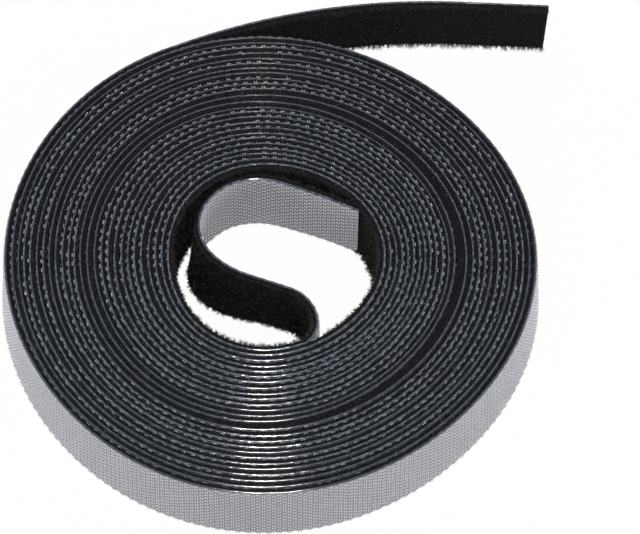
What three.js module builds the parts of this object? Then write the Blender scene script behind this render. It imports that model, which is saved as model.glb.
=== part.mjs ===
// A coreless roll of hook and loop tape, lying flat on the edges of its turns.
// The tape is two webs bonded back to back: a moulded hook film that faces out
// and a loop fabric that faces the bore. Its inner end folds back into the bore
// in an S-shaped curl, and its outer end peels off the roll as a free tail.
import * as THREE from "three";

// Driving dimensions, in millimetres
const tapeWidth = 19.05;
const hookThickness = 0.3;
const loopThickness = 0.5;
const bondGap = 0.1;
const fabricInset = 0.2;
const turnGap = 0.503;
const boreRadius = 23.8;
const boreShift = 0.7;
const looseGap = 1.5;
const lobeDepth = 0.6;
const ovalGrowth = 0.27;
const squareGrowth = 0.29;
const flareDepth = 0.7;
const flareOval = 0.5;
const wallClearance = 0.55;
const curlLean = 2.2;
const tailLean = 1.2;
const tailSweepRadius = 150;
const tailTipRun = 20.3;
const bendGap = 0.4;

// Counts and angles, in turns and degrees
const turns = 25.5;
const looseTurn = 13.5;
const startAngle = 292;
const lobeLag = 22;
const ovalLag = -44;
const squareLag = 16;
const tailLiftAngle = 2.4;
const tailSweepAngle = 26;
const stepsPerTurn = 18;
const stepsOnLastTurn = 72;
const stepsPerBend = 5;
const stepsPerTailPiece = 3;

// Route of the inner curl, from the roll to the cut end: the angle of each
// point about the roll's axis, and how far it stands in from the innermost
// turn as a share of the bore's radius
const curlRoute = [
  [296, 0.067], [299, 0.109], [303, 0.185], [308, 0.311], [309, 0.433], [308, 0.567],
  [289, 0.664], [248, 0.763], [210, 0.637], [181, 0.434], [163, 0.283], [143, 0.176],
  [120, 0.137], [97, 0.147], [70, 0.202], [43, 0.148],
];
const curlEndAngle = 32;

// Where the free stretches bend, as shares of their lengths from the roll, and
// where the curl begins to lean, leans most and stands upright again
const curlBends = [0.19, 0.495, 0.74];
const tailBends = [0.333, 0.667];
const curlLeans = [0.23, 0.44, 0.61];

const hookColour = 0x9a9ca0;
const loopColour = 0x141416;

// One pitch holds both webs, the bond between them and the depth that the
// hooks and the pile fill between one turn and the next
const pitch = hookThickness + bondGap + loopThickness + turnGap;
const hookFaces = [bondGap / 2, bondGap / 2 + hookThickness];
const loopFaces = [-bondGap / 2 - loopThickness, -bondGap / 2];
const pivotOffset = (loopFaces[0] + hookFaces[1]) / 2;

const radians = THREE.MathUtils.degToRad;
const smoothstep = THREE.MathUtils.smoothstep;

// A bulge on so many sides of the roll, one at most and minus one between them
function bulge(angle, sides, lag) {
  return Math.cos(sides * angle - radians(lag));
}

// Radius of the bond line after so many turns from the bore. The inner turns
// lie a little off centre, so the loose turn gapes on one side of the roll. All
// of them bulge a little on three sides, and outward they grow oval and square.
function bondRadius(turn) {
  const angle = radians(startAngle - 360 * turn);
  const loosened = smoothstep(turn, looseTurn - 0.5, looseTurn + 0.5);
  const inward = Math.min(turn / looseTurn, 1);
  const shift = THREE.MathUtils.lerp(boreShift, -looseGap / 2, inward) * (1 - loosened);
  const lobes = lobeDepth * bulge(angle, 3, lobeLag);
  const grown = ovalGrowth * bulge(angle, 2, ovalLag) + squareGrowth * bulge(angle, 4, squareLag);
  const round = boreRadius + pitch * turn + (looseGap / 2) * loosened;
  return round + shift * Math.cos(angle) + lobes + (grown * turn) / turns;
}

// The outer turns flare: their lower edges stand out, most at the roll's sides
function flare(turn) {
  const outward = Math.max(turn - looseTurn, 0) / (turns - looseTurn);
  const angle = radians(startAngle - 360 * turn);
  return outward * (flareDepth + flareOval * Math.cos(2 * angle));
}

// A station is a point on the bond line with the direction that the hooks face
// and the lean, how far the lower edge stands out that way beyond the upper one
function polarStation(angle, radius, lean) {
  const facing = new THREE.Vector2(Math.cos(radians(angle)), Math.sin(radians(angle)));
  return { point: facing.clone().multiplyScalar(radius), facing, lean };
}

function turnStation(turn) {
  return polarStation(startAngle - 360 * turn, bondRadius(turn), flare(turn));
}

function turnStations(from, to, perTurn) {
  const first = Math.round(from * perTurn);
  const last = Math.round(to * perTurn);
  const stations = [];
  for (let step = first; step <= last; step += 1) {
    stations.push(turnStation(step / perTurn));
  }
  return stations;
}

// The curl's route follows the innermost turn whatever the bore
function insetPoint(angle, inset) {
  const turn = (startAngle - angle) / 360;
  const wall = bondRadius(turn < 0 ? turn + 1 : turn);
  const { point } = polarStation(angle, wall - inset, 0);
  return new THREE.Vector3(point.x, point.y, 0);
}

const endInset = -2 * loopFaces[0] + wallClearance;
const rollStart = turnStation(0).point;
const curlCurve = new THREE.CatmullRomCurve3([
  new THREE.Vector3(rollStart.x, rollStart.y, 0),
  ...curlRoute.map(([angle, share]) => insetPoint(angle, share * boreRadius)),
  insetPoint(curlEndAngle, endInset),
]);
curlCurve.arcLengthDivisions = 600;
const curlLength = curlCurve.getLength();

// Station on the curl at a length measured from the roll towards the cut end.
// Its left bend leans, with the lower edge out towards the bore's wall.
function curlStation(length) {
  const share = length / curlLength;
  const point = curlCurve.getPointAt(share);
  const along = curlCurve.getTangentAt(share);
  const [upright, steepest, uprightAgain] = curlLeans;
  const leaning = smoothstep(share, upright, steepest) - smoothstep(share, steepest, uprightAgain);
  return {
    point: new THREE.Vector2(point.x, point.y),
    facing: new THREE.Vector2(along.y, -along.x),
    lean: -curlLean * leaning,
  };
}

// Stations run along the tape from its inner end to its outer end
function curlStations(from, to, steps) {
  const stations = [];
  for (let step = 0; step <= steps; step += 1) {
    stations.push(curlStation(THREE.MathUtils.lerp(from, to, step / steps)));
  }
  return stations;
}

// The tail leaves the roll along its last turn, sweeps out and ends straight,
// with its lower edge leaning out
const lastTurn = Math.round(turns * stepsPerTurn) / stepsPerTurn;
const peel = turnStation(lastTurn);
const peelHeading = radians(startAngle - 360 * lastTurn - 90 + tailLiftAngle);
const sweepLength = tailSweepRadius * radians(tailSweepAngle);
const tailLength = sweepLength + tailTipRun;

function tailStation(length) {
  const swept = Math.min(length, sweepLength);
  const heading = peelHeading - swept / tailSweepRadius;
  const point = peel.point.clone();
  point.x += tailSweepRadius * (Math.sin(peelHeading) - Math.sin(heading));
  point.y += tailSweepRadius * (Math.cos(heading) - Math.cos(peelHeading));
  const straight = length - swept;
  point.x += straight * Math.cos(heading);
  point.y += straight * Math.sin(heading);
  const facing = new THREE.Vector2(-Math.sin(heading), Math.cos(heading));
  const leaning = smoothstep(length, 0, tailBends[0] * tailLength);
  return { point, facing, lean: THREE.MathUtils.lerp(peel.lean, tailLean, leaning) };
}

function tailStations(from, to) {
  const stations = [];
  for (let step = 0; step <= stepsPerTailPiece; step += 1) {
    stations.push(tailStation(THREE.MathUtils.lerp(from, to, step / stepsPerTailPiece)));
  }
  return stations;
}

// One web along a route: four corners at each station, joined and capped. The
// two faces of the web split along the same diagonals, so that both webs of a
// leaning stretch twist alike and keep the bond between them.
function webGeometry(stations, [near, far], edgeInset) {
  const low = edgeInset;
  const high = tapeWidth - edgeInset;
  const corners = [[near, low], [far, low], [far, high], [near, high]];
  const positions = [];
  for (const { point, facing, lean } of stations) {
    for (const [offset, height] of corners) {
      const out = offset + lean * (1 - height / tapeWidth);
      positions.push(point.x + facing.x * out, point.y + facing.y * out, height);
    }
  }
  const triangles = [];
  const addQuad = (a, b, c, d) => triangles.push(a, b, c, a, c, d);
  const sides = corners.length;
  const nearFace = sides - 1;
  for (let base = 0; base < (stations.length - 1) * sides; base += sides) {
    for (let side = 0; side < nearFace; side += 1) {
      const here = base + side;
      addQuad(here, here + 1, here + sides + 1, here + sides);
    }
    addQuad(base, base + sides, base + sides + nearFace, base + nearFace);
  }
  const end = (stations.length - 1) * sides;
  addQuad(3, 2, 1, 0);
  addQuad(end, end + 1, end + 2, end + 3);
  const geometry = new THREE.BufferGeometry();
  geometry.setAttribute("position", new THREE.Float32BufferAttribute(positions, 3));
  geometry.setIndex(triangles);
  geometry.computeVertexNormals();
  return geometry;
}

// Least distance from a web to itself, past half a turn of the bore along it
function leastGap(stations, [near, far]) {
  const middle = (near + far) / 2;
  const points = stations.map(({ point, facing }) => point.clone().addScaledVector(facing, middle));
  const lengths = [0];
  for (let i = 1; i < points.length; i += 1) {
    lengths.push(lengths[i - 1] + points[i].distanceTo(points[i - 1]));
  }
  const apart = Math.PI * boreRadius;
  let least = Infinity;
  for (let i = 0; i < points.length; i += 1) {
    for (let j = 1; j < points.length && lengths[i] - lengths[j] > apart; j += 1) {
      const along = points[j].clone().sub(points[j - 1]);
      const share = points[i].clone().sub(points[j - 1]).dot(along) / along.lengthSq();
      const foot = points[j - 1].clone().addScaledVector(along, THREE.MathUtils.clamp(share, 0, 1));
      least = Math.min(least, points[i].distanceTo(foot));
    }
  }
  return least - (far - near);
}

// The tape in stretches from its inner end to its outer end. Each bend keeps
// a gap, and so does the butt between the inner and the outer turns.
const half = bendGap / 2;
const [curlRoot, curlSide, curlCrown] = curlBends.map((share) => share * curlLength);
const [tailMiddle, tailEnd] = tailBends.map((share) => share * tailLength);
const innerTurns = [
  ...curlStations(curlRoot - half, half, 2 * stepsPerBend),
  ...turnStations(0, looseTurn, stepsPerTurn),
];
const outerTurns = [
  ...turnStations(looseTurn, lastTurn - 1, stepsPerTurn),
  ...turnStations(lastTurn - 1, lastTurn, stepsOnLastTurn).slice(1),
];
const buttStation = turnStation(looseTurn + half / (2 * Math.PI * bondRadius(looseTurn)));
outerTurns[0] = buttStation;

const stretches = {
  curl_end: curlStations(curlLength, curlCrown + half, stepsPerBend),
  curl_crown: curlStations(curlCrown - half, curlSide + half, stepsPerBend),
  curl_side: curlStations(curlSide - half, curlRoot + half, stepsPerBend),
  inner_turns: innerTurns,
  outer_turns: outerTurns,
  tail_root: tailStations(bendGap, tailMiddle - half),
  tail_middle: tailStations(tailMiddle + half, tailEnd - half),
  tail_tip: tailStations(tailEnd + half, tailLength),
};

const tape = new THREE.Group();
function addWeb(name, stations, faces, edgeInset, material) {
  const mesh = new THREE.Mesh(webGeometry(stations, faces, edgeInset), material);
  mesh.name = name;
  tape.add(mesh);
}

for (const [stretch, stations] of Object.entries(stretches)) {
  const film = new THREE.MeshStandardMaterial({ color: hookColour, roughness: 0.45, metalness: 0 });
  const fabric = new THREE.MeshStandardMaterial({ color: loopColour, roughness: 0.95, metalness: 0 });
  addWeb(`hook_film_${stretch}`, stations, hookFaces, 0, film);
  addWeb(`loop_fabric_${stretch}`, stations, loopFaces, fabricInset, fabric);
}

for (const stretch of ["inner_turns", "outer_turns"]) {
  const hookGap = leastGap(stretches[stretch], hookFaces);
  const loopGap = leastGap(stretches[stretch], loopFaces);
  console.log(`${stretch}: hook film clears itself by ${hookGap.toFixed(2)} mm`);
  console.log(`${stretch}: loop fabric clears itself by ${loopGap.toFixed(2)} mm`);
}

// The origin is under the middle of the whole tape, on the surface it lies on
const box = new THREE.Box3().setFromObject(tape);
const middle = box.getCenter(new THREE.Vector3());
tape.position.set(-middle.x, -middle.y, -box.min.z);
const roll = new THREE.Group();
roll.add(tape);

// Upright axes that the free stretches bend about, half way through the tape.
// A leaning stretch bends about whichever edge is further out on the hooks' side.
function bendAxis({ point, facing, lean }) {
  const axis = point.clone().addScaledVector(facing, pivotOffset + Math.max(lean, 0));
  return [axis.x + tape.position.x, axis.y + tape.position.y];
}

roll.userData.bendAxes = {
  curl_root: bendAxis(curlStation(curlRoot)),
  curl_side: bendAxis(curlStation(curlSide)),
  curl_crown: bendAxis(curlStation(curlCrown)),
  tail_peel: bendAxis(tailStation(half)),
  tail_middle: bendAxis(tailStation(tailMiddle)),
  tail_end: bendAxis(tailStation(tailEnd)),
};

export default roll;
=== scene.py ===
import math

import bpy
import numpy as np
from mathutils import Matrix, Vector


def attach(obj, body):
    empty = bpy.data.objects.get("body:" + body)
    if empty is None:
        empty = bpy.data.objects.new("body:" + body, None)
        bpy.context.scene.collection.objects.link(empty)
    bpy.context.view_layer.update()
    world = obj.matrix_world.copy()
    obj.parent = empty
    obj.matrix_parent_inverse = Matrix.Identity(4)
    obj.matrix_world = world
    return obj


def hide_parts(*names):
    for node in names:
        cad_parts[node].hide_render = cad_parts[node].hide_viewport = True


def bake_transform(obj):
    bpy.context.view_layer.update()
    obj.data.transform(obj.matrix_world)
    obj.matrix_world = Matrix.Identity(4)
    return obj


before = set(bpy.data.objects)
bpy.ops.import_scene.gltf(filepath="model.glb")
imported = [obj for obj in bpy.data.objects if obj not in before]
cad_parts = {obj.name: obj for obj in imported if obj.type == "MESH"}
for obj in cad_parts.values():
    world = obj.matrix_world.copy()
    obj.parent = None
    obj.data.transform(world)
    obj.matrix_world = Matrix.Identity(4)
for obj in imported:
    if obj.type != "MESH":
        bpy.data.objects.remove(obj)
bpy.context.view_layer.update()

# Camera
# The picture looks down on the roll from its front at about sixty degrees,
# through a long lens a metre away, and is turned by one degree.
picture_width = 640
focal_length_in_pixels = 4492.6
sensor_width = 36
camera_distance = 1.0413
camera_elevation = math.radians(60.13)
camera_turn = math.radians(0.98)
camera_aim = Vector((0.01034, 0.00301, 0))

looking = Vector((0, math.cos(camera_elevation), -math.sin(camera_elevation)))
level_right = Vector((1, 0, 0))
level_up = level_right.cross(looking)
camera_right = level_right * math.cos(camera_turn) + level_up * math.sin(camera_turn)
camera_up = camera_right.cross(looking)
camera_axes = Matrix((camera_right, camera_up, -looking)).transposed()

camera_data = bpy.data.cameras.new("camera")
camera_data.sensor_width = sensor_width
camera_data.lens = focal_length_in_pixels * sensor_width / picture_width
camera = bpy.data.objects.new("camera", camera_data)
camera.matrix_world = Matrix.Translation(camera_aim - looking * camera_distance) @ camera_axes.to_4x4()
bpy.context.collection.objects.link(camera)
bpy.context.scene.camera = camera


# Studio
# A white table that runs out of sight under an even white sky, and a soft lamp
# on either side. Close above the camera are a plain lamp and a small warm one,
# whose gloss shows as a streak of glints.
table_half_width = 2.0
table_white = (0.85, 0.85, 0.85, 1)
table_glow_share = 0.97
sky_white = (1, 1, 1, 1)
sky_strength = 0.6
lamp_size = 0.05
lamp_power = 4
lamp_rise = 0.06
lamp_place = camera.location + camera_up * lamp_rise
glint_size = 0.02
glint_power = 60
glint_warmth = (1, 0.88, 0.74)
side_lamp_size = 0.4
side_lamp_reach = 0.8
side_lamp_height = 0.12
side_lamp_power = 4


def sees_the_background(nodes, links):
    """One where a ray from the camera, or from gloss or glass, meets the background."""
    path = nodes.new("ShaderNodeLightPath")
    camera_or_gloss = nodes.new("ShaderNodeMath")
    camera_or_gloss.operation = "MAXIMUM"
    links.new(path.outputs["Is Camera Ray"], camera_or_gloss.inputs[0])
    links.new(path.outputs["Is Glossy Ray"], camera_or_gloss.inputs[1])
    any_of_three = nodes.new("ShaderNodeMath")
    any_of_three.operation = "MAXIMUM"
    links.new(camera_or_gloss.outputs[0], any_of_three.inputs[0])
    links.new(path.outputs["Is Transmission Ray"], any_of_three.inputs[1])
    return any_of_three.outputs[0]


def table_material():
    """Matt white that looks evenly lit wherever the background is seen."""
    material = bpy.data.materials.new("white table")
    material.use_nodes = True
    nodes, links = material.node_tree.nodes, material.node_tree.links
    nodes.clear()
    matt = nodes.new("ShaderNodeBsdfDiffuse")
    matt.inputs["Color"].default_value = table_white
    glow = nodes.new("ShaderNodeEmission")
    glow.inputs["Color"].default_value = sky_white
    share = nodes.new("ShaderNodeMath")
    share.operation = "MULTIPLY"
    share.inputs[1].default_value = table_glow_share
    links.new(sees_the_background(nodes, links), share.inputs[0])
    mix = nodes.new("ShaderNodeMixShader")
    links.new(share.outputs[0], mix.inputs["Fac"])
    links.new(matt.outputs["BSDF"], mix.inputs[1])
    links.new(glow.outputs["Emission"], mix.inputs[2])
    output = nodes.new("ShaderNodeOutputMaterial")
    links.new(mix.outputs["Shader"], output.inputs["Surface"])
    return material


def white_sky():
    """Full white where the background is seen, and weaker as a lamp."""
    world = bpy.data.worlds.new("white sky")
    world.use_nodes = True
    nodes, links = world.node_tree.nodes, world.node_tree.links
    strength = nodes.new("ShaderNodeMapRange")
    strength.inputs["To Min"].default_value = sky_strength
    links.new(sees_the_background(nodes, links), strength.inputs["Value"])
    background = nodes["Background"]
    background.inputs["Color"].default_value = sky_white
    links.new(strength.outputs["Result"], background.inputs["Strength"])
    bpy.context.scene.world = world


def round_lamp(name, place, size, power):
    data = bpy.data.lights.new(name, "AREA")
    data.shape = "DISK"
    data.size = size
    data.energy = power
    light = bpy.data.objects.new(name, data)
    light.location = place
    light.rotation_mode = "QUATERNION"
    light.rotation_quaternion = (camera_aim - place).to_track_quat("-Z", "Y")
    bpy.context.collection.objects.link(light)
    return light


bpy.ops.mesh.primitive_plane_add(size=2 * table_half_width)
table = bpy.context.object
table.name = "table"
table.data.materials.append(table_material())
white_sky()
round_lamp("lamp", lamp_place, lamp_size, lamp_power)
glint_lamp = round_lamp("glint_lamp", lamp_place, glint_size, glint_power)
glint_lamp.data.color = glint_warmth
glint_lamp.visible_diffuse = False
for side, reach in (("left", -side_lamp_reach), ("right", side_lamp_reach)):
    place = Vector((reach, 0, side_lamp_height))
    side_lamp = round_lamp(f"{side}_lamp", place, side_lamp_size, side_lamp_power)
    side_lamp.visible_glossy = False
bpy.context.scene.view_settings.view_transform = "Standard"


# Hook film of the wound turns
# A grey plastic film, moulded in one with its hooks and slit to three quarters
# of an inch. It is wound with the hooks outward, over nothing but itself, and
# the bond, which soaks into the fabric on its back, shows as part of its edge.
tape_width = 0.01905
film_thickness = 0.0003
bond_thickness = 0.0001
fabric_thickness = 0.0005
bond_soak = 0.00004
film_faces = (-bond_thickness / 2 - bond_soak, bond_thickness / 2 + film_thickness)
turn_pitch = 0.001403
bore_radius = 0.0238
bore_shift = 0.0007
loose_gap = 0.0015
loose_turn = 13.5
total_turns = 25.5
exposed_turns = 1
start_angle = 292
roll_axis = np.array((-0.001118, -0.005365))
film_steps_per_turn = 200
free_step = 0.0003
corner_steps = 4
hook_side_corner = 0.00027
bond_side_corner = 0.00004
face_margin = 0.0004

# How far the turns are from round, upright and level. Lags are in degrees, and beats
# are radians to the turn.
lobe_depth = 0.0006
oval_growth = 0.00027
square_growth = 0.00029
lobe_lag = 22
oval_lag = -44
square_lag = 16
flare_depth = 0.0007
flare_oval = 0.0005
bore_lean = 0.0008
bore_lean_turns = 5
waver_depth = 0.00013
waver_beats = (9.1, 4.3)
lift_depth = 0.0002
lift_beats = (2.6, 1.1)
beat_head_start = 1
end_fade = 0.25
loosening_lead = 0.5

# How far the pile of the fabric stands in from the bond, free and on the bore's wall.
# The curl presses its own pile and the wall's where it swings to the left, between
# these shares of its length and of the first turn. There the wall keeps only a share
# of its lean, and past it the nap stands up again within a small rise of the pile.
free_reach = 0.0009
bore_reach = 0.0011
pressed_reach = 0.00057
pressed_wall_reach = 0.00067
nap_rise = 0.00018
pressed_lean_share = 0.5
curl_pressed = (0.42, 0.56, 0.74)
wall_pressed = (0.24, 0.353, 0.47)
pile_clearance = 0.0001

# Route of the inner curl, from the roll to the cut end: the angle of each point
# about the roll's axis, and its distance from the innermost turn in bore radii
curl_route = [
    (296, 0.067), (299, 0.109), (303, 0.185), (308, 0.311), (309, 0.433), (308, 0.567),
    (289, 0.664), (248, 0.763), (210, 0.637), (181, 0.434), (163, 0.283), (143, 0.176),
    (120, 0.137), (97, 0.147), (70, 0.202), (43, 0.148),
]
curl_end_angle = 32
curl_end_clearance = 0.00055
curl_steps_per_span = 60
curl_ease = 0.005

# Shares of the curl's length at which it bends, and how far its lower edge stands out
# to the side of the hooks: each lean's depth, and the shares at which it begins, is
# deepest and ends. The left bend leans to the bore's wall and the crown the other way.
curl_bends = (0.19, 0.495, 0.74)
curl_leans = [
    (-0.0022, (0.23, 0.44, 0.61)),
    (-0.0005, (0.3, 0.46, 0.54)),
    (0.0006, (0.56, 0.74, 0.96)),
]

# Finishes of the faces and of the slit edges, with a darker and a paler tone each
fleck_detail = 3
fleck_spread = (0.35, 0.7)
film_fleck_scale = 1500
film_roughness = 0.5
open_film_tones = ((0.195, 0.205, 0.232, 1), (0.26, 0.27, 0.302, 1))
# The faces that sink in the pile of the next turn are painted darker, as their shade.
shaded_film_tones = ((0.018, 0.022, 0.032, 1), (0.16, 0.175, 0.21, 1))
cut_fleck_scale = 1100
cut_fleck_spread = (0.4, 0.64)
# The blue in the slit edges' tones is partly the film's own tint and partly a painted reflection of the
# sky.
cut_tones = ((0.012, 0.016, 0.026, 1), (0.11, 0.125, 0.158, 1))
# On the turns listed below, the slit edges are painted darker, as shade.
shaded_cut_tones = ((0.012, 0.016, 0.026, 1), (0.055, 0.063, 0.082, 1))
cut_roughness = 0.09
cut_gloss = 0.6
cut_gloss_tint = (0.85, 0.92, 1, 1)
cut_wave_scale = 2600
cut_wave_depth = 0.00007
cut_wave_strength = 0.65
edge_crease = 60

# Turns whose slit edges are painted darker, as shade: the first and the last turn of each stretch
shaded_cut_turns = ((10.9, 14.2), (17.3, 18.5), (20.3, 21.3), (22.9, 25.5))


def smooth(share):
    """A rise from none to one that starts and ends softly."""
    share = np.clip(share, 0, 1)
    return share * share * (3 - 2 * share)


def swell(share, shares):
    """A smooth rise from the first of three shares to the second, and a fall to the third."""
    begin, peak, end = shares
    return smooth((share - begin) / (peak - begin)) - smooth((share - peak) / (end - peak))


def turn_angle(turn):
    """Where the tape is round the roll's axis after so many turns, wound clockwise."""
    return np.radians(start_angle - 360 * turn)


def beat(turn, beats):
    """A slow unevenness along the winding that no two turns share, gone at both ends."""
    fade = smooth(turn / end_fade) * smooth((total_turns - turn) / end_fade)
    return fade * np.sin(beats[0] * turn) * np.sin(beats[1] * turn + beat_head_start)


def bulge(angle, sides, lag):
    """A bulge on so many sides of the roll, one at most and minus one between them."""
    return np.cos(sides * angle - math.radians(lag))


def bond_radius(turn):
    """Radius of the line between film and fabric, so many turns out from the bore."""
    loosened = smooth(turn - loose_turn + loosening_lead)
    inward = np.minimum(turn / loose_turn, 1)
    shift = (bore_shift - (bore_shift + loose_gap / 2) * inward) * (1 - loosened)
    angle = turn_angle(turn)
    lobes = lobe_depth * bulge(angle, sides=3, lag=lobe_lag)
    oval = oval_growth * bulge(angle, sides=2, lag=oval_lag)
    square = square_growth * bulge(angle, sides=4, lag=square_lag)
    mean = bore_radius + turn_pitch * turn + loose_gap / 2 * loosened
    return mean + shift * np.cos(angle) + lobes + (oval + square) * turn / total_turns


def wound_radius(turn):
    return bond_radius(turn) + waver_depth * beat(turn, waver_beats)


def wound_points(turn):
    angle = turn_angle(turn)
    return roll_axis + np.column_stack((np.cos(angle), np.sin(angle))) * wound_radius(turn)[:, None]


def turn_lean(turn):
    """How far the lower edge stands out beyond the upper one: the outer turns flare,
    most at the sides of the roll, and the innermost ones draw in."""
    outward = np.maximum(turn - loose_turn, 0) / (total_turns - loose_turn)
    flare = outward * (flare_depth + flare_oval * bulge(turn_angle(turn), sides=2, lag=0))
    drawn = bore_lean * smooth(1 - turn / bore_lean_turns) * smooth(turn / end_fade)
    return flare - drawn * (1 - pressed_lean_share * swell(turn, wall_pressed))


def turn_lift(turn):
    """How far the turns stand up from the table: some ride a little higher."""
    return lift_depth * (smooth(turn) * smooth(total_turns - turn) + beat(turn, lift_beats))


def pile_reach(turn):
    """The pile fills the space to the turn before, and stands free on the bore's wall."""
    space = wound_radius(turn) - wound_radius(np.maximum(turn - 1, 0))
    filled = space - film_faces[1] - pile_clearance
    free = free_reach + (bore_reach - free_reach) * smooth(turn / end_fade)
    wall = free + (pressed_wall_reach - free) * swell(turn, wall_pressed)
    return np.where(turn < 1, wall, filled)


def tape_line(points, lean, lift, reach, covered, dull, slant=0.0):
    """Stations along the bond line: where they are, the way ahead and the way the hooks
    face, the length so far, the lean of the tape, its lift, the reach of its pile,
    whether another turn covers its hooks, whether its slit edges are painted darker as shade,
    and how far ahead of the lower edge the upper one is."""
    ahead = np.gradient(points, axis=0)
    ahead /= np.linalg.norm(ahead, axis=1, keepdims=True)
    facing = np.column_stack((-ahead[:, 1], ahead[:, 0]))
    line = {"points": points, "ahead": ahead, "facing": facing, "length": lengths_along(points)}
    slants = np.full(len(points), slant)
    line.update(lean=lean, lift=lift, reach=reach, covered=covered, dull=dull, slant=slants)
    return line


def on_tape(line, out, height, run=0.0):
    """Points at every station, so far out towards the hooks, so high and so far ahead."""
    leaning = line["lean"][:, None] * (1 - height / tape_width)
    slanting = line["slant"][:, None] * height / tape_width
    aside = line["facing"][:, None] * (out + leaning)[..., None]
    along = line["ahead"][:, None] * (run + slanting)[..., None]
    level = line["lift"][:, None] + np.broadcast_to(height, leaning.shape)
    return np.concatenate((line["points"][:, None] + aside + along, level[..., None]), axis=-1)


def smooth_curve(knots, steps):
    """A curve through the knots by the centripetal rule, so many steps to each span."""
    ends = np.concatenate((2 * knots[:1] - knots[1:2], knots, 2 * knots[-1:] - knots[-2:-1]))
    gaps = np.sqrt(np.linalg.norm(np.diff(ends, axis=0), axis=1))
    share = np.linspace(0, 1, steps, endpoint=False)[:, None]
    spans = []
    for i in range(1, len(knots)):
        before, here, there, after = ends[i - 1:i + 3]
        gap_before, gap, gap_after = gaps[i - 1:i + 2]
        step = there - here
        leave = (here - before) / gap_before - (there - before) / (gap_before + gap) + step / gap
        arrive = step / gap - (after - here) / (gap + gap_after) + (after - there) / gap_after
        square = 3 * step - (2 * leave + arrive) * gap
        cube = (leave + arrive) * gap - 2 * step
        spans.append(here + share * (leave * gap + share * (square + share * cube)))
    return np.concatenate((*spans, knots[-1:]))


def curl_knots():
    """Points of the curl's route, which keeps its distance from the innermost turn."""
    end_inset = (bond_thickness + 2 * fabric_thickness + curl_end_clearance) / bore_radius
    angle, inset = np.array([(start_angle, 0), *curl_route, (curl_end_angle, end_inset)]).T
    wall = bond_radius((start_angle - angle) / 360 % 1)
    angle = np.radians(angle)
    radius = wall - inset * bore_radius
    return roll_axis + np.column_stack((np.cos(angle), np.sin(angle))) * radius[:, None]


def lengths_along(points):
    return np.concatenate(([0], np.cumsum(np.linalg.norm(np.diff(points, axis=0), axis=1))))


def eased(curve, reach):
    """The curve with its bends eased over a reach, as a stiff tape eases them. Its ends stay."""
    lengths = lengths_along(curve)
    even = np.linspace(0, lengths[-1], round(lengths[-1] / free_step) + 1)
    points = np.column_stack([np.interp(even, lengths, axis) for axis in curve.T])
    half = round(reach / free_step)
    before = 2 * points[0] - points[half:0:-1]
    after = 2 * points[-1] - points[-2:-2 - half:-1]
    window = np.hanning(2 * half + 3)[1:-1]
    window /= window.sum()
    extended = np.concatenate((before, points, after))
    return np.column_stack([np.convolve(axis, window, "valid") for axis in extended.T])


curl_curve = eased(smooth_curve(curl_knots(), curl_steps_per_span), curl_ease)
curl_lengths = lengths_along(curl_curve)
curl_length = curl_lengths[-1]
fold_length = curl_bends[0] * curl_length


def shares_between(first, last, whole_length):
    """Shares of a free length, a step apart, from one share of it to another."""
    return np.linspace(first, last, round(abs(last - first) * whole_length / free_step) + 1)


def curl_points(share):
    """Points at those shares of the curl's length, measured from the roll."""
    return np.column_stack([np.interp(share * curl_length, curl_lengths, axis) for axis in curl_curve.T])


def curl_lean(share):
    return sum(depth * swell(share, shares) for depth, shares in curl_leans)


def wound_line(first_turn, last_turn, steps_per_turn):
    """The bond line through those turns. The first turn begins with the curl's fold."""
    turn = np.linspace(first_turn, last_turn, round((last_turn - first_turn) * steps_per_turn) + 1)
    covered = (turn < total_turns - exposed_turns) * 1.0
    dull = sum((turn > first) & (turn < last) for first, last in shaded_cut_turns) * 1.0
    parts = [wound_points(turn), turn_lean(turn), turn_lift(turn), pile_reach(turn), covered, dull]
    if first_turn == 0:
        share = shares_between(curl_bends[0], 0, curl_length)[:-1]
        level = np.zeros(len(share))
        fold = [curl_points(share), curl_lean(share), level, level + free_reach, level, level]
        parts = [np.concatenate(pair) for pair in zip(fold, parts)]
    return tape_line(*parts)


def film_section():
    """Section through the film, each point out from the bond line and up from the edge.
    Its corners are round on the side of the hooks and sharp where the fabric is bonded."""
    near, far = film_faces
    arc = np.linspace(0, math.pi / 2, corner_steps)
    drop, draw = 1 - np.sin(arc), 1 - np.cos(arc)
    hook_corner = np.column_stack((far - hook_side_corner * draw, tape_width - hook_side_corner * drop))
    bond_corner = np.column_stack((near + bond_side_corner * drop, tape_width - bond_side_corner * draw))
    top = np.concatenate((hook_corner, bond_corner))
    bottom = np.column_stack((top[:, 0], tape_width - top[:, 1]))[::-1]
    outside = [(far, face_margin), (far, tape_width - face_margin)]
    inside = [(near, tape_width - face_margin), (near, face_margin)]
    return np.concatenate((bottom, outside, top, inside))


def new_piece(name, points, faces, material, crease=edge_crease):
    """A piece whose edges are smooth up to the crease, an angle in degrees."""
    mesh = bpy.data.meshes.new(name)
    mesh.from_pydata(points.reshape(-1, 3).tolist(), [], faces)
    mesh.shade_smooth()
    mesh.set_sharp_from_angle(angle=math.radians(crease))
    mesh.materials.append(material)
    piece = bpy.data.objects.new(name, mesh)
    bpy.context.collection.objects.link(piece)
    return piece


def band(name, grid, material):
    """A closed band whose grid runs along the tape and round its section."""
    rows, columns = grid.shape[:2]
    index = np.arange(rows * columns).reshape(rows, columns)
    near, far = index[:-1], index[1:]
    quads = np.stack((near, np.roll(near, -1, 1), np.roll(far, -1, 1), far), axis=-1)
    caps = [index[0, ::-1].tolist(), index[-1].tolist()]
    return new_piece(name, grid, quads.reshape(-1, 4).tolist() + caps, material)


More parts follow.
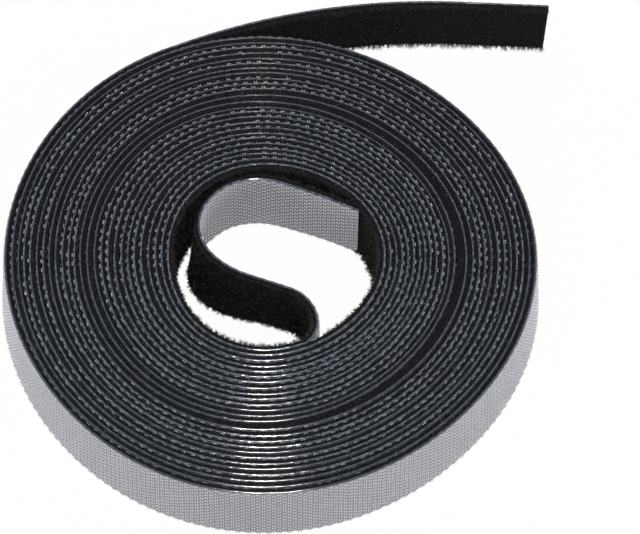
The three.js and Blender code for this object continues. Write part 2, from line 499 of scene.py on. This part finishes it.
def film_band(name, line):
    """Film with pale open faces. The faces that sink in the pile of the next turn are painted darker, as
    shade.
    The cut edges and ends have finishes of their own, and on some turns the cut edges are painted
    darker, as shade."""
    out, height = film_section().T
    film = band(name, on_tape(line, out, height), film_finish)
    for finish in (cut_finish, shaded_film_finish, shaded_cut_finish):
        film.data.materials.append(finish)
    open_face, cut_edge, shaded_face, shaded_edge = range(len(film.data.materials))
    depth = np.minimum(height, tape_width - height)
    on_face = np.maximum(depth, np.roll(depth, -1)) > hook_side_corner
    face_finish = np.where(line["covered"][1:, None] > 0, shaded_face, open_face)
    edge_finish = np.where(line["dull"][1:, None] > 0, shaded_edge, cut_edge)
    finishes = np.append(np.where(on_face, face_finish, edge_finish), (cut_edge, cut_edge))
    film.data.polygons.foreach_set("material_index", finishes.astype(np.int32))
    return film


def mottled_material(name, scale, tones, spread=fleck_spread):
    """A material whose tone varies between two colours in fine flecks. The spread says
    which part of the flecks' range the change takes."""
    material = bpy.data.materials.new(name)
    material.use_nodes = True
    nodes, links = material.node_tree.nodes, material.node_tree.links
    place = nodes.new("ShaderNodeTexCoord")
    flecks = nodes.new("ShaderNodeTexNoise")
    flecks.inputs["Scale"].default_value = scale
    flecks.inputs["Detail"].default_value = fleck_detail
    links.new(place.outputs["Object"], flecks.inputs["Vector"])
    tone = nodes.new("ShaderNodeValToRGB")
    for stop, position, colour in zip(tone.color_ramp.elements, spread, tones):
        stop.position = position
        stop.color = colour
    links.new(flecks.outputs["Fac"], tone.inputs["Fac"])
    links.new(tone.outputs["Color"], nodes["Principled BSDF"].inputs["Base Color"])
    return material


def film_material(name, tones):
    """Grey film, as it shows between the hooks."""
    material = mottled_material(name, film_fleck_scale, tones)
    material.node_tree.nodes["Principled BSDF"].inputs["Roughness"].default_value = film_roughness
    return material


def cut_material(name, tones):
    """The slit edge of the film, dark over the fabric, glossy and a little uneven."""
    material = mottled_material(name, cut_fleck_scale, tones, cut_fleck_spread)
    nodes, links = material.node_tree.nodes, material.node_tree.links
    shader = nodes["Principled BSDF"]
    shader.inputs["Roughness"].default_value = cut_roughness
    shader.inputs["Specular IOR Level"].default_value = cut_gloss
    shader.inputs["Specular Tint"].default_value = cut_gloss_tint
    place = nodes.new("ShaderNodeTexCoord")
    waves = nodes.new("ShaderNodeTexNoise")
    waves.inputs["Scale"].default_value = cut_wave_scale
    links.new(place.outputs["Object"], waves.inputs["Vector"])
    bump = nodes.new("ShaderNodeBump")
    bump.inputs["Distance"].default_value = cut_wave_depth
    bump.inputs["Strength"].default_value = cut_wave_strength
    links.new(waves.outputs["Fac"], bump.inputs["Height"])
    links.new(bump.outputs["Normal"], shader.inputs["Normal"])
    return material


film_finish = film_material("hook film", open_film_tones)
shaded_film_finish = film_material("film in painted shade of the pile", shaded_film_tones)
cut_finish = cut_material("cut film", cut_tones)
shaded_cut_finish = cut_material("cut film in painted shade", shaded_cut_tones)
wound_stretches = {"inner_turns": (0, loose_turn), "outer_turns": (loose_turn, total_turns)}
film_lines = {}
for stretch, (first_turn, last_turn) in wound_stretches.items():
    film_lines[stretch] = wound_line(first_turn, last_turn, film_steps_per_turn)
    film = film_band(f"film_{stretch}", film_lines[stretch])
    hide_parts(f"hook_film_{stretch}")
    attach(film, "roll")


# Hooks of the wound turns
# Each hook is a pair of short stems that bend away from each other along the
# tape, moulded with the film in staggered columns. The slit edge wanders across
# their rows, and turns where it runs close by a row look paler from above.
hook_column_pitch = 0.00115
hook_row_step = 0.0007
cut_end_margin = 0.00047
first_row_margin = 0.0005
edge_zone = 0.0008
edge_hook_share = 0.85
hook_seed = 3
hook_crease = 180
open_hook_grey = (0.52, 0.537, 0.575, 1)
open_hook_roughness = 0.4
# Hooks near the edges of covered turns sit in the gaps between turns: the same plastic, painted darker
# as their shade.
shaded_hook_grey = (0.28, 0.295, 0.34, 1)
sunk_hook_roughness = 0.2

# One stem from the side, along the tape and out from the film, drawn in millimetres
hook_side = np.array(((0.13, -0.03), (0.1, 0.2), (0.26, 0.29), (0.44, 0.15), (0.27, -0.03))) / 1000
hook_half_width = 0.00016

# Lengths along the tape from the curl's cut end, and by how many rows of hooks the slit
# has moved there
slit_wander = [
    (0, 0), (0.15, 0.1), (0.4, 0.85), (1.5, 0.83), (1.68, 0.6), (2.24, 0.56), (2.36, 0.4),
    (2.98, 0.4), (3.08, 0.57), (3.95, 0.6), (4.05, 0.42), (4.36, 0.42), (4.46, 0.58),
    (4.9, 0.6), (5, 0.43), (5.24, 0.43), (5.34, 0.62), (5.75, 0.64), (5.9, 0.4), (6.3, 0.2),
    (7.2, 0.1),
]
inner_length = film_lines["inner_turns"]["length"][-1] - fold_length
inner_end = fold_length + inner_length
outer_length = film_lines["outer_turns"]["length"][-1]
exposed_start = film_lines["outer_turns"]["length"][-1 - exposed_turns * film_steps_per_turn]
tape_before_fold = curl_length - fold_length
tape_before_outer_turns = curl_length + inner_length
tape_before_tail = tape_before_outer_turns + outer_length


def hook_shape():
    """Points (along, out, up) and faces of one hook, two outlines with a short depth."""
    outlines = (hook_side, hook_side[::-1] * (-1, 1))
    count = len(hook_side)
    points, faces = [], []
    for first, outline in zip((0, 2 * count), outlines):
        depth = np.full((count, 1), hook_half_width)
        points += [np.hstack((outline, -depth)), np.hstack((outline, depth))]
        low = list(range(first, first + count))
        high = list(range(first + count, first + 2 * count))
        faces += [low, high[::-1]]
        faces += [[low[i - 1], high[i - 1], high[i], low[i]] for i in range(count)]
    return np.concatenate(points), faces


def hook_places(start, first, last, edges_only):
    """Length along a line and height of each hook between two lengths of it. The line
    starts so far along the tape. Covered turns show only some hooks near their edges."""
    first_column = math.ceil((start + first - cut_end_margin) / hook_column_pitch)
    last_column = math.floor((start + last - cut_end_margin) / hook_column_pitch)
    rows = math.ceil(tape_width / hook_row_step)
    column, row = np.mgrid[first_column:last_column + 1, -1:rows]
    length = cut_end_margin + column * hook_column_pitch
    moved = np.interp(length, *zip(*slit_wander))
    height = tape_width - first_row_margin - (row + moved) * hook_row_step
    depth = np.minimum(height, tape_width - height)
    made = ((row + column) % 2 == 0) & (depth >= hook_half_width)
    if edges_only:
        made &= (depth < edge_zone) & (hook_chance.uniform(size=depth.shape) < edge_hook_share)
    return np.column_stack((length[made] - start, height[made]))


def at(line, length):
    """The stations of a line at those lengths along it."""
    stations = {}
    for what, value in line.items():
        columns = value.reshape(len(value), -1).T
        sampled = np.column_stack([np.interp(length, line["length"], column) for column in columns])
        stations[what] = sampled.reshape(len(length), *value.shape[1:])
    return stations


def hooks(name, line, places, material):
    """One piece with a hook at each of those places."""
    shape, shape_faces = hook_shape()
    length, height = places.T
    run, out, rise = shape.T
    points = on_tape(at(line, length), film_faces[1] + out, height[:, None] + rise, run)
    faces = [[i + n * len(shape) for i in face] for n in range(len(places)) for face in shape_faces]
    return new_piece(name, points, faces, material, crease=hook_crease)


def hook_material(name, colour, roughness):
    """Grey plastic with a soft gloss, paler in the hooks than in the thin film."""
    material = bpy.data.materials.new(name)
    material.use_nodes = True
    shader = material.node_tree.nodes["Principled BSDF"]
    shader.inputs["Base Color"].default_value = colour
    shader.inputs["Roughness"].default_value = roughness
    return material


hook_chance = np.random.default_rng(hook_seed)
hook_finish = hook_material("open hooks", open_hook_grey, open_hook_roughness)
shaded_edge_hook_finish = hook_material("hooks in painted shade between turns", shaded_hook_grey, sunk_hook_roughness)
wound_hooks = {
    "face_hooks_fold": ("inner_turns", tape_before_fold, 0, fold_length, False),
    "edge_hooks_inner_turns": ("inner_turns", tape_before_fold, fold_length, inner_end, True),
    "edge_hooks_outer_turns": ("outer_turns", tape_before_outer_turns, 0, exposed_start, True),
    "face_hooks_last_turn": ("outer_turns", tape_before_outer_turns, exposed_start, outer_length, False),
}
for name, (stretch, start, first, last, edges_only) in wound_hooks.items():
    finish = shaded_edge_hook_finish if edges_only else hook_finish
    field = hooks(name, film_lines[stretch], hook_places(start, first, last, edges_only), finish)
    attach(field, "roll")


# Loop fabric of the wound turns
# A black knitted nylon, brushed up into a pile of loops and bonded to the back
# of the film. Its cut edges are ragged and slope down from the film's.
fabric_inset = 0.0002
pile_slope = 0.0002
fabric_steps_per_turn = 400
wound_cells = 2
edge_points = 6
edge_middle = 0.5
edge_middle_drop = pile_slope / 4
ragged_depth = 0.00012
pile_unevenness = 0.00006
fabric_seed = 7
fabric_fleck_scale = 1500
fabric_tones = ((0.009, 0.0094, 0.0108, 1), (0.0145, 0.015, 0.017, 1))
fabric_roughness = 1
fabric_gloss = 0


def fabric_section(cells):
    """Section through the fabric: how far in each point is, from back to pile face, and
    its height. The edges come first, and the pile face has so many cells."""
    low, high = fabric_inset, tape_width - fabric_inset
    bottom = [(1, low + pile_slope), (edge_middle, low), (0, low)]
    top = [(0, high), (edge_middle, high - edge_middle_drop), (1, high - pile_slope)]
    face_heights = np.linspace(high - pile_slope, low + pile_slope, cells + 1)[1:-1]
    face = np.column_stack((np.ones(cells - 1), face_heights))
    return np.concatenate((bottom, top, face))


def fabric(name, line, cells, chance, material):
    """A band of fabric whose pile face is uneven and whose edges are ragged."""
    inward, height = fabric_section(cells).T
    size = (len(line["points"]), len(height))
    on_edge = np.arange(len(height)) < edge_points
    on_pile = inward == 1
    out = film_faces[0] - inward * (line["reach"][:, None] + film_faces[0])
    rough_out = out + on_pile * chance.normal(0, pile_unevenness, size)
    rough_height = height + on_edge * chance.uniform(-ragged_depth, ragged_depth, size)
    return band(name, on_tape(line, rough_out, rough_height), material)


def fabric_material():
    """Black matt yarn, a shade lighter here and there."""
    material = mottled_material("loop fabric", fabric_fleck_scale, fabric_tones)
    shader = material.node_tree.nodes["Principled BSDF"]
    shader.inputs["Roughness"].default_value = fabric_roughness
    shader.inputs["Specular IOR Level"].default_value = fabric_gloss
    return material


fabric_finish = fabric_material()
fabric_chance = np.random.default_rng(fabric_seed)
wound_fabrics = {}
for stretch, (first_turn, last_turn) in wound_stretches.items():
    line = wound_line(first_turn, last_turn, fabric_steps_per_turn)
    cloth = fabric(f"fabric_{stretch}", line, wound_cells, fabric_chance, fabric_finish)
    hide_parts(f"loop_fabric_{stretch}")
    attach(cloth, "roll")
    wound_fabrics[stretch] = (cloth, line)


# Pile of the wound turns
# The fabric's own black nylon yarn. Loops of it stand up on the bore's wall, slit
# tufts make a fringe along the wall's edges, and broken fibres stray from the cut
# edges of every turn.
loop_thickness = 0.00006
loop_height = 0.0004
loop_spread = 0.0005
loop_lean = 0.4
lowest_loop = 0.3
loops_per_area = 2.4e6
loop_steps = 5
fibre_sides = 3
side_hint = (0.3, 0.1, 0.2)

# Tufts of the fringe, and shares of its depth and of the pile's reach
bore_fringe_depth = 0.0012
tuft_pitch = 0.0005
tuft_fibres = 20
tuft_spread = 0.00013
fringe_root = 0.0008
fringe_root_reach = 0.9
fringe_sway = 0.35
shortest_tuft = 0.25
shortest_tuft_fibre = 0.4

# Stray fibres, and shares of their length and of the pile's reach
stray_thickness = 0.00007
stray_tip_share = 0.4
stray_steps = 3
stray_length = 0.0006
shortest_stray = 0.3
stray_sway = 0.6
stray_droop = 3
strays_per_length = 4e3
upper_stray_share = 0.75
nearest_stray_foot = 0.1
stray_radii = stray_thickness / 2 * np.linspace(1, stray_tip_share, stray_steps)

# The yarn is black, with pale specks: on the pile they are lint and painted glints of fibres that catch
# the light, and on the strays of the wound turns painted glints that lighten the gaps between the turns
yarn_black = (0.014, 0.0143, 0.0158, 1)
yarn_speck_scale = 2500
yarn_roughness = 0.6
yarn_gloss = 0.1
pile_lint_and_glint = (0.35, 0.35, 0.36, 1)
pile_lint_and_glint_spread = (0.7, 0.78)
stray_painted_glint = (0.2, 0.21, 0.24, 1)
stray_painted_glint_spread = (0.52, 0.62)


def fibres(paths, radii):
    """Points and faces of thin fibres along paths, an array of fibre by point by axis."""
    count, steps = paths.shape[:2]
    ahead = np.gradient(paths, axis=1)
    ahead /= np.linalg.norm(ahead, axis=2, keepdims=True)
    aside = np.cross(ahead, np.roll(ahead, 1, axis=2) + side_hint)
    aside /= np.linalg.norm(aside, axis=2, keepdims=True)
    across = np.cross(ahead, aside)
    turn = 2 * math.pi * np.arange(fibre_sides) / fibre_sides
    ring = aside[:, :, None] * np.cos(turn)[:, None] + across[:, :, None] * np.sin(turn)[:, None]
    points = paths[:, :, None] + ring * radii[:, None, None]
    index = np.arange(count * steps * fibre_sides).reshape(count, steps, fibre_sides)
    near, far = index[:, :-1], index[:, 1:]
    quads = np.stack((near, np.roll(near, -1, 2), np.roll(far, -1, 2), far), axis=-1)
    return points.reshape(-1, 3), quads.reshape(-1, 4)


def nap(stations):
    """How far the pile stands up, from none where it is pressed to one where it's free."""
    standing = (stations["reach"] - pressed_reach) / nap_rise
    return np.clip(standing, 0, 1)[:, None]


def loop_paths(line, last, chance):
    """Arches that stand on the pile face, up to a length, and lean every way."""
    count = round(last * tape_width * loops_per_area)
    low, high = fabric_inset, tape_width - fabric_inset
    stations = at(line, chance.uniform(0, last, count))
    height = chance.uniform(low, high, (count, 1))
    way = chance.uniform(0, 2 * math.pi, (count, 1))
    tall = loop_height * nap(stations) * chance.uniform(lowest_loop, 1, (count, 1))
    lean_ahead, lean_up = chance.normal(0, loop_lean, (2, count, 1)) * tall
    share = np.linspace(-1, 1, loop_steps) * math.pi / 2
    arch = np.cos(share)
    side = np.sin(share) * loop_spread / 2
    out = -stations["reach"][:, None] - tall * arch
    rise = np.clip(height + np.sin(way) * side + lean_up * arch, low, high)
    run = np.cos(way) * side + lean_ahead * arch
    return on_tape(stations, out, rise, run)


def fringe_paths(line, last, fringe_depth, chance):
    """Tufts of cut yarn that spread out from both edges of an open pile face."""
    tufts = 2 * round(last / tuft_pitch)
    count = tufts * tuft_fibres
    tuft_place = (np.arange(tufts) // 2 + chance.uniform(0, 1, tufts)) * tuft_pitch
    spread = chance.normal(0, tuft_spread, count)
    length = np.clip(np.repeat(tuft_place, tuft_fibres) + spread, 0, last)
    stations = at(line, length)
    upper = np.repeat(np.arange(tufts) % 2, tuft_fibres)[:, None]
    edge = np.where(upper, tape_width - fabric_inset, fabric_inset)
    root = np.where(upper, -1, 1) * fringe_root * chance.uniform(0, 1, (count, 1))
    tuft_depth = fringe_depth * np.repeat(chance.uniform(shortest_tuft, 1, tufts), tuft_fibres)[:, None]
    depth = tuft_depth * nap(stations) * chance.uniform(shortest_tuft_fibre, 1, (count, 1))
    sway, lean = chance.normal(0, fringe_sway, (2, count, 1)) * depth
    share = np.linspace(0, 1, stray_steps)
    out = -stations["reach"][:, None] * fringe_root_reach - depth * share
    height = np.clip(edge + root * (1 - share) + sway * share, loop_thickness, tape_width)
    return on_tape(stations, out, height, lean * share)


def stray_paths(line, chance):
    """Broken fibres that stray from the edges of the fabric, most from the upper one."""
    count = round(line["length"][-1] * strays_per_length)
    upper = chance.uniform(0, 1, (count, 1)) < upper_stray_share
    edge = np.where(upper, tape_width - fabric_inset, fabric_inset)
    stations = at(line, chance.uniform(0, line["length"][-1], count))
    reach = stray_length * chance.uniform(shortest_stray, 1, (count, 1))
    foot = -chance.uniform(nearest_stray_foot, 1, (count, 1)) * stations["reach"][:, None]
    sway, lean = chance.normal(0, stray_sway, (2, count, 1)) * reach
    share = np.linspace(0, 1, stray_steps)
    climb = np.where(upper, 1, -1) * reach * share * (1 - share / stray_droop)
    height = np.maximum(edge + climb, loop_thickness)
    return on_tape(stations, foot - sway * share ** 2, height, lean * share)


def loose_yarn(name, paths, radii, material):
    """One piece with a fibre along each of those paths."""
    points, quads = fibres(paths, radii)
    return new_piece(name, points, quads.tolist(), material)


def open_pile(stretch, line, length, fringe_depth, material):
    """The loops of an open pile face, and the fringe along its edges."""
    loop_radii = np.full(loop_steps, loop_thickness / 2)
    loops = loop_paths(line, length, fabric_chance)
    tufts = fringe_paths(line, length, fringe_depth, fabric_chance)
    pile = loose_yarn(f"pile_{stretch}", loops, loop_radii, material)
    fringe = loose_yarn(f"fringe_{stretch}", tufts, stray_radii, material)
    return [pile, fringe]


def strays(stretch, line, material):
    """The loose fibres along both edges of a length of tape."""
    return loose_yarn(f"strays_{stretch}", stray_paths(line, fabric_chance), stray_radii, material)


def yarn_material(name, speck, spread):
    """Black nylon fibre with pale specks, painted glints of fibres that catch the light, and on the pile
    lint as well. The spread says how many there are.
    """
    material = mottled_material(name, yarn_speck_scale, (yarn_black, speck), spread)
    shader = material.node_tree.nodes["Principled BSDF"]
    shader.inputs["Roughness"].default_value = yarn_roughness
    shader.inputs["Specular IOR Level"].default_value = yarn_gloss
    return material


yarn_finish = yarn_material("pile yarn", pile_lint_and_glint, pile_lint_and_glint_spread)
painted_glint_stray_finish = yarn_material("stray fibre with painted glints", stray_painted_glint, stray_painted_glint_spread)
bore_wall_length = fold_length + 2 * math.pi * bore_radius
bore_wall_line = wound_fabrics["inner_turns"][1]
bore_pile = open_pile("bore_wall", bore_wall_line, bore_wall_length, bore_fringe_depth, yarn_finish)
wound_piles = {"inner_turns": bore_pile, "outer_turns": []}
for stretch, (cloth, line) in wound_fabrics.items():
    wound_piles[stretch].append(strays(stretch, line, painted_glint_stray_finish))
    for yarn in wound_piles[stretch]:
        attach(yarn, "roll")


# Inner curl
# The inner end of the tape, folded back out of the first turn into an S in the
# bore. It is the same film and fabric, with both of its faces open to view.
curl_chain = ("roll", "curl_side", "curl_crown", "curl_end")
curl_ends = (*curl_bends[1:], 1)
curl_overhangs = (0, 0, 0.0005)
curl_fringe_depth = 0.001
pile_cell = 0.0003
free_cells = round(tape_width / pile_cell)


def free_line(points, lean, reach, slant=0.0):
    """The bond line of a free length, which stands on the table with both faces open."""
    level = np.zeros(len(points))
    return tape_line(points, lean, level, level + reach, level, level, slant)


def lengthened(line, overhang):
    """The line with a station more before its first one, so far off."""
    first = {what: value[:1] for what, value in line.items()}
    first["points"] = first["points"] - first["ahead"] * overhang
    first["length"] = first["length"] - overhang
    return {what: np.concatenate((first[what], value)) for what, value in line.items()}


def free_stretch(stretch, line, start, fringe_depth, overhang=0.0):
    """A free length of tape that starts so far along it.
    Its fabric has a fringe, and that of a frayed end hangs over the film's."""
    length = line["length"][-1]
    film = film_band(f"film_{stretch}", line)
    field = hooks(f"hooks_{stretch}", line, hook_places(start, 0, length, False), hook_finish)
    cloth_line = lengthened(line, overhang) if overhang else line
    cloth = fabric(f"fabric_{stretch}", cloth_line, free_cells, fabric_chance, fabric_finish)
    yarn = open_pile(stretch, line, length, fringe_depth, yarn_finish)
    yarn.append(strays(stretch, line, yarn_finish))
    slots = {"hook_film": (film, field), "loop_fabric": (cloth, *yarn)}
    for slot, pieces in slots.items():
        for piece in pieces:
            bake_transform(piece)
    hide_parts(f"hook_film_{stretch}")
    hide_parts(f"loop_fabric_{stretch}")


for i, (root_share, end_share) in enumerate(zip(curl_bends, curl_ends)):
    share = shares_between(end_share, root_share, curl_length)
    reach = free_reach + (pressed_reach - free_reach) * swell(share, curl_pressed)
    line = free_line(curl_points(share), curl_lean(share), reach)
    tape_before = (1 - end_share) * curl_length
    carrier, stretch = curl_chain[i:i + 2]
    free_stretch(stretch, line, tape_before, curl_fringe_depth, curl_overhangs[i])


# Free tail
# The outer end of the same tape, which peels off the roll, sweeps out in a
# wide curve and ends in a straight cut, a little aslant.
tail_sweep_radius = 0.15
tail_sweep_angle = math.radians(26)
tail_tip_run = 0.0203
tail_lift_angle = 2.4
tail_lean_depth = 0.0012
tail_end_slant = 0.00046
tail_fringe_depth = 0.0017
tail_chain = ("roll", "tail_root", "tail_middle", "tail_tip")
tail_bends = (0, 0.333, 0.667, 1)
peel_heading = turn_angle(total_turns) - math.radians(90 - tail_lift_angle)
peel_lean = turn_lean(total_turns)
tail_sweep_length = tail_sweep_radius * tail_sweep_angle
tail_length = tail_sweep_length + tail_tip_run


def tail_points(share):
    """Points at those shares of the tail's length, measured from the roll."""
    length = share * tail_length
    heading = peel_heading - np.minimum(length, tail_sweep_length) / tail_sweep_radius
    straight = np.maximum(length - tail_sweep_length, 0)
    across = tail_sweep_radius * (math.sin(peel_heading) - np.sin(heading)) + straight * np.cos(heading)
    away = tail_sweep_radius * (np.cos(heading) - math.cos(peel_heading)) + straight * np.sin(heading)
    return wound_points(np.array([total_turns])) + np.column_stack((across, away))


def tail_lean(share):
    """The lower edge of the tail leans out, from the flare of the last turn on."""
    return peel_lean + (tail_lean_depth - peel_lean) * smooth(share / tail_bends[1])


for i, (root_share, end_share) in enumerate(zip(tail_bends[:-1], tail_bends[1:])):
    share = shares_between(root_share, end_share, tail_length)
    slant = tail_end_slant * smooth((share - tail_bends[2]) / (1 - tail_bends[2]))
    line = free_line(tail_points(share), tail_lean(share), free_reach, slant)
    tape_before = tape_before_tail + root_share * tail_length
    carrier, stretch = tail_chain[i:i + 2]
    free_stretch(stretch, line, tape_before, tail_fringe_depth)
